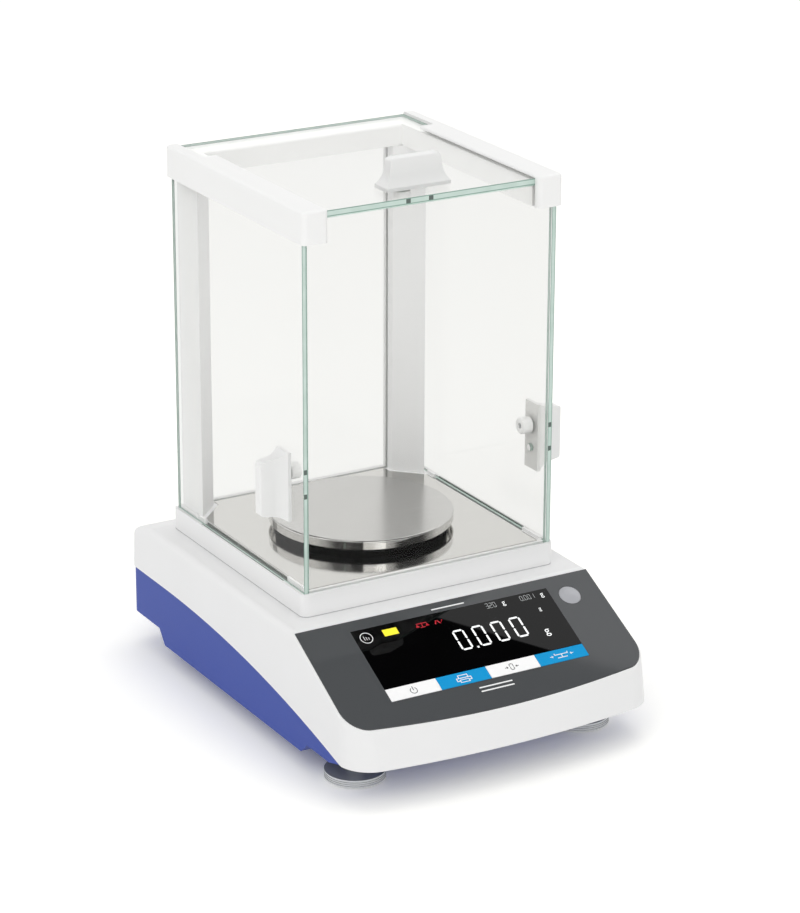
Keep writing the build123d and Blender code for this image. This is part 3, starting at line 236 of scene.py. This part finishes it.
def moulded(name, colour, roughness, grain_mm, depth_mm, shade=0.03, gloss=1.5, shade_line_height=None):
    """Moulded, painted or plain machined skin: faint shade changes, a fine pitted texture of the given grain
    and depth, and, if a height is given, a thin grey line there: painted shade for the gap where it stands on
    another piece."""
    shades_per_metre, shade_line_half, roughness_half = 18.0, 0.0005, 0.05
    material, tree = new_material(name)
    at = located(tree)
    tint = blend(tree, noise(tree, at, shades_per_metre, 2.0), faded(colour, 1 - shade), linear(colour))
    if shade_line_height:
        # Thin grey band at the given height: painted shade standing in for the shadow in the gap under the
        # piece.
        gap_shade = maths(tree, "COMPARE", parts_of(tree, at)["Z"], shade_line_height, shade_line_half)
        tint = blend(tree, gap_shade, tint, linear("#B4B5B6"))
    grain = noise(tree, at, 1000.0 / grain_mm, 3.0)
    bump = add(tree, "ShaderNodeBump", Height=grain, Strength=0.35, Distance=depth_mm / 1000)
    rough = ramp(tree, grain, 0.0, 1.0, roughness - roughness_half, roughness + roughness_half)
    skin = add(
        tree, "ShaderNodeBsdfPrincipled",
        Base_Color=tint, Roughness=rough, Normal=bump.outputs[0], IOR=gloss,
    )
    add(tree, "ShaderNodeOutputMaterial", Surface=skin.outputs[0])
    return material


# The shield base stands on the housing's top face, at this height.
housing_top = 0.0899
white_abs = moulded("white_abs", "#F0F0F0", 0.42, 0.9, 0.02)
dress(white_abs, "upper_housing", "left_column", "right_column")
# The shield base gets that grey line where it meets the housing: painted shade for the gap between them.
dress(moulded("white_abs_base", "#F0F0F0", 0.42, 0.9, 0.02, shade_line_height=housing_top), "shield_base")
# Rails and beam are the same ABS as the housing, given a lighter colour: painted light, lifting them brighter
# than the lamps leave them.
rails_abs_painted_lighter = moulded("white_abs_rails_painted_light", "#F7F7F6", 0.42, 0.9, 0.02)
dress(rails_abs_painted_lighter, "left_rail", "right_rail", "rear_beam")
handle_abs = moulded("white_abs_smooth", "#F0F0EF", 0.3, 0.7, 0.01)
dress(handle_abs, "left_handle", "right_handle", "top_handle")
dress(handle_abs, "left_thumb_nut", "right_thumb_nut", "top_thumb_nut")


# Lower housing
# Aluminium die casting, sprayed in a satin blue that lies in a thin even film over the casting.
# It shows as a blue band under the white moulding, and carries the feet and the connectors.

blue_paint = moulded("blue_satin_paint", "#3A50A6", 0.45, 1.4, 0.03, shade=0.05, gloss=1.3)
dress(blue_paint, "lower_housing")


# Feet
# Turned aluminium hand wheels with three grooves round the rim, on steel threads in brass bushes.
# A black rubber pad in each underside stands on the table.

marks_per_metre = 900.0
foot_metal, tree = new_material("turned_aluminium")
marks = noise(tree, located(tree), marks_per_metre, 2.0)
facing = parts_of(tree, add(tree, "ShaderNodeNewGeometry").outputs["Normal"])
# Faces that look up get a darker grey than the rim: painted shade for the housing's shadow on the wheel tops.
top_shade_mask = ramp(tree, facing["Z"], 0.6, 0.9, 0.0, 1.0)
rim_tint = blend(tree, marks, linear("#D2D4D5"), linear("#EAECED"))
tint = blend(tree, top_shade_mask, rim_tint, linear("#9A9C9A"))
bump = add(tree, "ShaderNodeBump", Height=marks, Strength=0.2, Distance=0.00003)
skin = add(
    tree, "ShaderNodeBsdfPrincipled",
    Base_Color=tint, Metallic=0.25, Roughness=0.4, Normal=bump.outputs[0],
)
add(tree, "ShaderNodeOutputMaterial", Surface=skin.outputs[0])
foot_rubber = moulded("black_rubber", "#1B1B1C", 0.8, 0.5, 0.03)
for corner in ("front_left", "front_right", "rear_left", "rear_right"):
    dress(foot_metal, corner + "_foot_screw")
    dress(foot_rubber, corner + "_foot_pad")
dress(moulded("knurled_brass", "#B99A52", 0.35, 1.0, 0.05), "foot_inserts")


# Control panel film
# Polycarbonate film, printed dark grey from behind and satin on its face, glued into the slope.
# A thin rule above and a pair below the window are printed in white.

film_print = moulded("printed_polycarbonate_film", "#4F5153", 0.05, 0.35, 0.0005, shade=0.02, gloss=1.3)
dress(film_print, "panel_film")

slope = math.radians(27.5)
pan_axis, slope_to_pan = 0.0316, 0.1021
slope_top = Vector((0.0, pan_axis - slope_to_pan, housing_top))
slope_up = Vector((0.0, math.cos(slope), math.sin(slope)))
slope_out = Vector((0.0, -math.sin(slope), math.cos(slope)))
film_margin, film_thick, ink_thick = 3.3, 0.6, 0.05


def on_film(x, s):
    """Point on the ink's face in metres, from millimetres across and down from the film's top edge."""
    down, out = (film_margin + s) / 1000, (film_thick + ink_thick) / 1000
    return slope_top + Vector((x / 1000, 0, 0)) - slope_up * down + slope_out * out


def print_on_film(name, shapes, material, body):
    """Ink on the panel from closed outlines in panel millimetres."""
    made = bmesh.new()
    for shape in shapes:
        made.faces.new([made.verts.new(on_film(x, s)) for x, s in shape])
    bmesh.ops.recalc_face_normals(made, faces=made.faces)
    for face in made.faces:
        if face.normal.dot(slope_out) < 0:
            face.normal_flip()
    mesh = bpy.data.meshes.new(name)
    made.to_mesh(mesh)
    made.free()
    mesh.materials.append(material)
    printed = bpy.data.objects.new(name, mesh)
    stage.collection.objects.link(printed)
    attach(printed, body)


def bar(x0, s0, x1, s1):
    """Upright rectangle."""
    return [(x0, s0), (x1, s0), (x1, s1), (x0, s1)]


white_ink = moulded("white_screen_ink", "#F2F2F2", 0.35, 0.3, 0.001)
rules = [bar(-12, level, 12, level + 1.0) for level in (4.6, 71.0, 74.0)]
print_on_film("film_rules", rules, white_ink, "balance")


# Display
# Black negative liquid-crystal display behind a clear window with a gloss face. The lit segments are
# white, with one yellow and two red symbols, and the rest of the field stays black.

window, tree = new_material("gloss_black_window")
haze = noise(tree, located(tree), 30.0, 2.0)
rough = ramp(tree, haze, 0.0, 1.0, 0.0, 0.03)
field = blend(tree, haze, linear("#020202"), linear("#050506"))
skin = add(tree, "ShaderNodeBsdfPrincipled", Base_Color=field, Roughness=rough, IOR=1.25)
add(tree, "ShaderNodeOutputMaterial", Surface=skin.outputs[0])
dress(window, "display_window")


def lit(name, colour, strength):
    """Lit part of the display: shows its own colour, a little uneven across the field."""
    shades_per_metre, dimmest = 60.0, 0.92
    material, tree = new_material(name)
    cloud = noise(tree, located(tree), shades_per_metre, 1.0)
    tint = blend(tree, cloud, faded(colour, dimmest), linear(colour))
    skin = add(
        tree, "ShaderNodeBsdfPrincipled",
        Base_Color=tint, Roughness=0.3, Emission_Color=tint, Emission_Strength=strength,
    )
    add(tree, "ShaderNodeOutputMaterial", Surface=skin.outputs[0])
    return material


def segments(x, s, width, height, thick, shown):
    """Seven-segment digit from its top left corner: the shown segments, with mitred ends and fine gaps."""
    gap_share = 0.18
    half, gap = thick / 2, thick * gap_share
    mid = s + height / 2
    left, right_side, top, bottom = x + half, x + width - half, s + half, s + height - half

    def across(level):
        a, b = left + gap, right_side - gap
        over = [(a, level), (a + half, level - half), (b - half, level - half)]
        return over + [(b, level), (b - half, level + half), (a + half, level + half)]

    def upright(level, a, b):
        a, b = a + gap, b - gap
        outer = [(level, a), (level + half, a + half), (level + half, b - half)]
        return outer + [(level, b), (level - half, b - half), (level - half, a + half)]

    parts = {
        "a": across(top), "g": across(mid), "d": across(bottom),
        "f": upright(left, top, mid), "b": upright(right_side, top, mid),
        "e": upright(left, mid, bottom), "c": upright(right_side, mid, bottom),
    }
    return [parts[key] for key in shown]


digit_segments = {"0": "abcdef", "1": "bc", "2": "abged", "3": "abgcd"}
digit_width, digit_height, digit_thick = 8.4, 16.6, 1.35
digit_left, digit_top, digit_pitch = -7.8, 24.6, 13.75
display_white = lit("lit_white_segment", "#F4F6F6", 0.35)
reading = []
for place_number, digit in enumerate("0000"):
    digit_x = digit_left + place_number * digit_pitch
    reading += segments(digit_x, digit_top, digit_width, digit_height, digit_thick, digit_segments[digit])
reading.append(bar(3.0, 40.2, 4.4, 41.6))
print_on_film("display_reading", reading, display_white, "balance")

small = []
for x, digit in zip((24.6, 27.3, 30.0), "320"):
    small += segments(x, 9.6, 2.1, 4.2, 0.28, digit_segments[digit])
for x, digit in zip((50.2, 53.4, 56.1, 58.8), "0001"):
    small += segments(x, 9.8, 2.0, 4.0, 0.27, digit_segments[digit])
small.append(bar(52.6, 13.4, 53.0, 13.8))
print_on_film("display_capacity", small, lit("dim_white_segment", "#B9BCBC", 0.15), "balance")


def ring(x, s, radius, thick, start=0.0, end=360.0):
    """Round band, or part of one, as quads, from angles clockwise from the top in degrees."""
    steps = 40
    inner = radius - thick
    turns = [math.radians(start + (end - start) * i / steps) for i in range(steps + 1)]

    def point(reach, turn):
        return (x + reach * math.sin(turn), s - reach * math.cos(turn))

    return [[point(radius, a), point(radius, b), point(inner, b), point(inner, a)]
            for a, b in zip(turns, turns[1:])]


ring_symbol = ring(-64.0, 15.3, 4.3, 0.4)
ring_symbol += [bar(-65.7, 13.6, -65.4, 17.0), bar(-64.2, 14.4, -63.9, 17.0), bar(-62.7, 15.2, -62.4, 17.0)]
print_on_film("display_ring_symbol", ring_symbol, display_white, "balance")
yellow = lit("lit_yellow_segment", "#F5E926", 0.3)
print_on_film("display_yellow_tag", [bar(-51.6, 12.0, -41.3, 17.3)], yellow, "balance")
red_symbols = [
    bar(-27.6, 13.2, -20.0, 13.8), bar(-24.1, 13.0, -23.5, 16.9), bar(-25.6, 16.4, -22.0, 16.9),
    [(-27.4, 13.9), (-25.9, 16.2), (-28.6, 16.2)], [(-20.2, 13.9), (-18.9, 16.2), (-21.6, 16.2)],
    [(-15.2, 16.4), (-13.6, 13.6), (-12.9, 14.0), (-14.4, 16.8)],
    [(-12.9, 14.0), (-12.2, 13.8), (-10.8, 16.4), (-11.5, 16.8)],
    [(-11.5, 16.8), (-10.8, 16.4), (-9.3, 13.8), (-8.7, 14.3)],
]
print_on_film("display_red_symbols", red_symbols, lit("lit_red_segment", "#BE0A22", 0.15), "balance")


def unit(name, x, s, size):
    """Gram sign of the display, its foot at the given point."""
    curve = bpy.data.curves.new(name, "FONT")
    curve.body = "g"
    curve.size = size
    text = bpy.data.objects.new(name + "_text", curve)
    stage.collection.objects.link(text)
    stage.view_layers[0].update()
    mesh = bpy.data.meshes.new_from_object(text.evaluated_get(bpy.context.evaluated_depsgraph_get()))
    bpy.data.objects.remove(text)
    for vertex in mesh.vertices:
        vertex.co = on_film(x + vertex.co.x, s - vertex.co.y)
    mesh.materials.clear()
    mesh.materials.append(display_white)
    made = bpy.data.objects.new(name, mesh)
    stage.collection.objects.link(made)
    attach(made, "balance")


unit("display_unit", 52.7, 43.2, 8.6)
unit("display_small_unit", 58.2, 24.0, 4.4)
unit("display_capacity_unit", 36.6, 13.4, 5.6)
unit("display_step_unit", 65.2, 13.6, 5.6)


# Keys
# Four flat ABS caps in a row under the window, white and blue in turn, each on its own push switch.
# Their symbols are printed: standby, a sheet feeding out, zero between arrows, and an empty pan.

key_white = moulded("white_key_abs", "#FDFDFD", 0.3, 0.6, 0.005)
key_blue = moulded("blue_key_abs", "#0099D8", 0.3, 0.6, 0.005, gloss=1.2)
dress(key_white, "power_key", "zero_key")
dress(key_blue, "print_key", "tare_key")
dark_ink = moulded("black_screen_ink", "#2C2D2E", 0.35, 0.3, 0.001)


def arrow(tip, s, way):
    """Slim arrow along the key row, its tip at the given point: way 1 is to the right, -1 to the left."""
    tail, neck, head = tip - way * 2.6, tip - way * 0.5, tip - way * 1.2
    return [
        bar(min(tail, neck), s - 0.24, max(tail, neck), s + 0.24),
        [(tip, s), (head, s - 1.0), (head, s - 0.35)],
        [(tip, s), (head, s + 0.35), (head, s + 1.0)],
    ]


row = 61.55
power_mark = ring(-54.0, row + 0.3, 2.5, 0.45, 35, 325) + [bar(-54.25, row - 2.9, -53.75, row + 0.2)]
print_on_film("power_key_symbol", power_mark, dark_ink, "power_key")
sheet_mark = [
    bar(-21.6, row - 2.9, -14.4, row - 2.3), bar(-21.6, row - 2.3, -21.0, row - 0.7),
    bar(-15.0, row - 2.3, -14.4, row - 0.7), bar(-23.4, row - 0.7, -12.6, row - 0.1),
    bar(-23.4, row - 0.1, -22.8, row + 2.0), bar(-13.2, row - 0.1, -12.6, row + 2.0),
    bar(-22.8, row + 1.4, -21.4, row + 2.0), bar(-14.6, row + 1.4, -13.2, row + 2.0),
    bar(-21.4, row + 0.7, -20.8, row + 3.2), bar(-15.2, row + 0.7, -14.6, row + 3.2),
    bar(-20.8, row + 0.7, -15.2, row + 1.2), bar(-20.8, row + 2.7, -15.2, row + 3.2),
]
print_on_film("print_key_symbol", sheet_mark, white_ink, "print_key")
zero_mark = segments(15.6, row - 2.6, 2.9, 5.0, 0.5, digit_segments["0"])
zero_mark += arrow(14.6, row, 1) + arrow(19.5, row, -1)
print_on_film("zero_key_symbol", zero_mark, dark_ink, "zero_key")
pan_mark = [
    bar(49.0, row - 1.2, 59.0, row - 0.6), bar(53.7, row - 0.6, 54.3, row + 1.4),
    bar(50.4, row + 1.4, 57.6, row + 2.0), bar(49.0, row - 2.2, 49.6, row - 1.2),
    bar(58.4, row - 2.2, 59.0, row - 1.2),
] + arrow(48.0, row, 1) + arrow(60.0, row, -1)
print_on_film("tare_key_symbol", pan_mark, white_ink, "tare_key")


# Level
# Round spirit level let into the film, under a satin grey cap that catches a soft highlight.

level_cap, tree = new_material("satin_grey_polycarbonate")
tint = blend(tree, noise(tree, located(tree), 90.0, 2.0), linear("#AAABB0"), linear("#BBBCC1"))
skin = add(tree, "ShaderNodeBsdfPrincipled", Base_Color=tint, Roughness=0.35)
add(tree, "ShaderNodeOutputMaterial", Surface=skin.outputs[0])
dress(level_cap, "level_dome", "level_cup")


# Weighing chamber floor and pan
# Both are stainless steel sheet with a fine ground finish. The plate lies loose in the base, and the pan is
# turned down round its edge and rests on a black moulded disc. The disc is made near black and almost free of
# reflections: partly its own colour, partly painted shade for the dark gap under the pan.

def ground_steel(name, dark, light, roughness, rim_roughness):
    """Stainless sheet ground across the balance, with fine streaks, and polished where it turns down."""
    streak_mm, along_per_metre, roughness_half = 0.6, 25.0, 0.03
    fine = 1000.0 / streak_mm
    material, tree = new_material(name)
    scaled = add(tree, "ShaderNodeMapping", Vector=located(tree), Scale=(along_per_metre, fine, fine))
    streak = noise(tree, scaled.outputs[0], 1.0, 3.0)
    ground = ramp(tree, streak, 0.0, 1.0, roughness - roughness_half, roughness + roughness_half)
    facing = parts_of(tree, add(tree, "ShaderNodeNewGeometry").outputs["Normal"])
    flat = ramp(tree, facing["Z"], 0.5, 0.9, 0.0, 1.0)
    rough = add(tree, "ShaderNodeMix", _0=flat, _2=rim_roughness, _3=ground)
    bump = add(tree, "ShaderNodeBump", Height=streak, Strength=0.15, Distance=0.00002)
    skin = add(
        tree, "ShaderNodeBsdfPrincipled", Metallic=1.0,
        Base_Color=blend(tree, streak, linear(dark), linear(light)),
        Roughness=rough.outputs[0], Normal=bump.outputs[0],
    )
    add(tree, "ShaderNodeOutputMaterial", Surface=skin.outputs[0])
    return material


dress(ground_steel("ground_stainless_plate", "#D2D1CE", "#E4E3E0", 0.11, 0.1), "floor_plate")
dress(ground_steel("ground_stainless_pan", "#C6C5C3", "#DAD9D7", 0.2, 0.06), "weighing_pan")
# Near black with a very low IOR: the support's own black, and painted shade for the gap under the pan.
dress(moulded("black_nylon_with_painted_shade", "#050505", 0.6, 0.8, 0.02, gloss=1.05), "pan_support")


# Glass panes
# Float glass with ground edges, 3 mm thick and 4 mm in the top door: fixed panes in front and behind,
# sliding ones at both sides and on top. The faces are clear, and the edges glow pale green where light
# runs along the pane.

def pane_glass(name, face_axis, hole_axis="Z", holes=()):
    """Clear float glass whose faces look along one axis, with pale green ground edges. Seen edge on, the rims
    are painted darker than the middle as painted shade for the chamfers, and dark marks at the given places
    along the front edge, in metres, are a painted reflection of the drilled holes behind it. The lower edge is
    nearly white."""
    middle_half, hole_half, front_end, steep = 0.34, 0.0016, -0.05, 0.7
    material, tree = new_material(name)
    turned = parts_of(tree, add(tree, "ShaderNodeNewGeometry").outputs["True Normal"])
    edge = maths(tree, "LESS_THAN", maths(tree, "ABSOLUTE", turned[face_axis]), steep)
    at = located(tree)
    place = parts_of(tree, at)
    through = parts_of(tree, located(tree, "Generated"))[face_axis]
    # The rims either side of the middle band get a darker green: painted shade for the chamfers along the edge.
    middle = maths(tree, "COMPARE", through, 0.5, middle_half)
    chips = blend(tree, noise(tree, at, 120.0, 1.0), linear("#B9CFC5"), linear("#D6E6DF"))
    ground = blend(tree, middle, linear("#86A498"), chips)
    front = maths(tree, "MULTIPLY", maths(tree, "LESS_THAN", place["Y"], front_end), middle)
    # Dark marks on the front edge at the hole places: painted reflection of the drilled holes seen through the
    # glass.
    for hole in holes:
        hole_reflection = maths(tree, "MULTIPLY", maths(tree, "COMPARE", place[hole_axis], hole, hole_half), front)
        ground = blend(tree, hole_reflection, ground, linear("#58655F"))
    under = maths(tree, "LESS_THAN", turned["Z"], -steep)
    rim_tint = blend(tree, under, ground, linear("#F2F4F3"))
    rim = add(tree, "ShaderNodeBsdfPrincipled", Base_Color=rim_tint, Roughness=0.35, IOR=1.5)
    clear = add(
        tree, "ShaderNodeBsdfPrincipled",
        Base_Color=linear("#FCFCFB"), Roughness=0.0, IOR=1.15, Transmission_Weight=1.0,
    )
    skin = add(tree, "ShaderNodeMixShader", _0=edge, _1=clear.outputs[0], _2=rim.outputs[0])
    add(tree, "ShaderNodeOutputMaterial", Surface=skin.outputs[0])
    return material


side_holes, top_holes = (0.1696, 0.1856), (-0.0165, -0.0005)
dress(pane_glass("clear_float_glass_side", "X", "Z", side_holes), "left_door", "right_door")
dress(pane_glass("clear_float_glass_front", "Y"), "front_pane", "rear_pane")
dress(pane_glass("clear_float_glass_top", "Z", "X", top_holes), "top_door")
for name in ("left_door", "right_door", "front_pane", "rear_pane", "top_door"):
    nodes[name].visible_shadow = False


# Door tracks
# Acetal channels let into the base, slippery enough for the glass to run in dry.

# Their grey is painted shade: it stands in for the shadow down in the slots the doors run in.
track_painted_shade = moulded("acetal_painted_shade_grey", "#6F7370", 0.35, 0.8, 0.01)
dress(track_painted_shade, "left_door_track", "right_door_track")


# Fasteners, load cell and electronics
# Zinc-plated steel screws, a machined aluminium load cell with its block and receiver, glass-epoxy boards
# and the connectors in the rear wall. Most of this is closed in.

zinc = moulded("zinc_plated_steel", "#A7A9AB", 0.35, 0.9, 0.01)
dress(zinc, "housing_screws", "shield_base_screws", "board_screws", "load_cell_screws", "overload_stops")
dress(zinc, "tie_rods", "left_handle_stud", "right_handle_stud", "top_handle_stud")
machined = moulded("machined_aluminium", "#B9BBBD", 0.35, 1.2, 0.01)
dress(machined, "load_cell", "load_cell_block", "load_receiver", "main_board_parts")
dress(moulded("green_solder_resist", "#1E5B3A", 0.35, 1.5, 0.02), "main_board", "display_board")
black_pbt = moulded("black_pbt", "#151516", 0.4, 0.9, 0.01)
dress(black_pbt, "key_switches", "display_module", "power_inlet", "serial_port")
